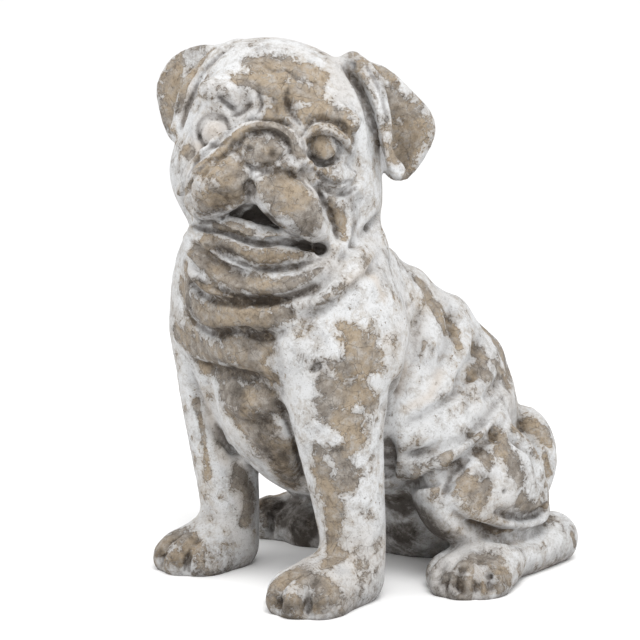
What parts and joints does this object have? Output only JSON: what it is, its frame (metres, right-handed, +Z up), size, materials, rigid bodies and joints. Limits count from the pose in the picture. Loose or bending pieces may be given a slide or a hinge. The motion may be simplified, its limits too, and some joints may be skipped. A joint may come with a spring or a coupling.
{
  "type": "dog garden statue",
  "caption": "Life-size sitting pug puppy statue in cast stone, head turned to its left, with worn limewash.",
  "frame": {"origin": "on the ground under the middle of the statue's outline, halfway along its width and its length", "axes": "+Z up, the chest faces -Y, the dog's left is +X"},
  "size_m": [0.2702, 0.2914, 0.38],
  "materials": {
    "limewashed_cast_stone": "off-white limewash worn through to tan and grey cast stone, matte, with dark dirt in the creases"
  },
  "bodies": {
    "root": {"pug_statue": "limewashed_cast_stone"}
  },
  "joints": []
}
